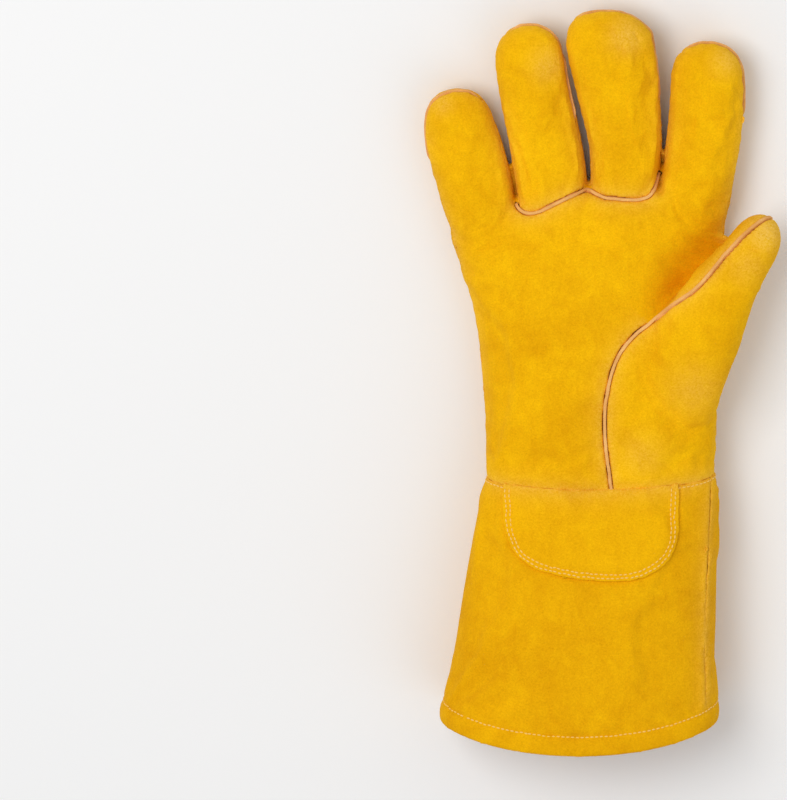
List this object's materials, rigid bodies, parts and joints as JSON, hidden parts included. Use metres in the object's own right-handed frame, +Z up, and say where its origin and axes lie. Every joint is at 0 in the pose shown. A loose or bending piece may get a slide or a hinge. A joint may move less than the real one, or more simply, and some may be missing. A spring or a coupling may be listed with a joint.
{
  "type": "stick welding glove",
  "caption": "Right-hand gauntlet welding glove in golden split cowhide, palm up, with a flared cuff, a half-round cuff patch, a wing thumb and pale welts in its seams.",
  "frame": {"origin": "Under the middle of the glove, on the surface that its back lies on.", "axes": "+X across the hand towards the thumb, +Y from the cuff's hem to the fingertips, +Z up out of the palm."},
  "size_m": [0.1704, 0.356, 0.0664],
  "materials": {
    "hand_leather": "soft golden yellow split cowhide with a short nap",
    "cuff_leather": "golden yellow split cowhide, slightly browner than the hand",
    "welt_leather": "pale tan cut edge of leather"
  },
  "bodies": {
    "root": {"cuff": "cuff_leather", "cuff_patch": "cuff_leather", "palm": "hand_leather", "ring_front": "hand_leather", "middle_front": "hand_leather", "back": "hand_leather", "thumb_outer": "hand_leather", "thumb_inner": "hand_leather", "gusset_little_ring": "hand_leather", "gusset_ring_middle": "hand_leather", "gusset_middle_index": "hand_leather", "welt_little": "welt_leather", "welt_ring": "welt_leather", "welt_middle": "welt_leather", "welt_index": "welt_leather", "welt_finger_roots": "welt_leather", "welt_thumb": "welt_leather"}
  },
  "joints": []
}
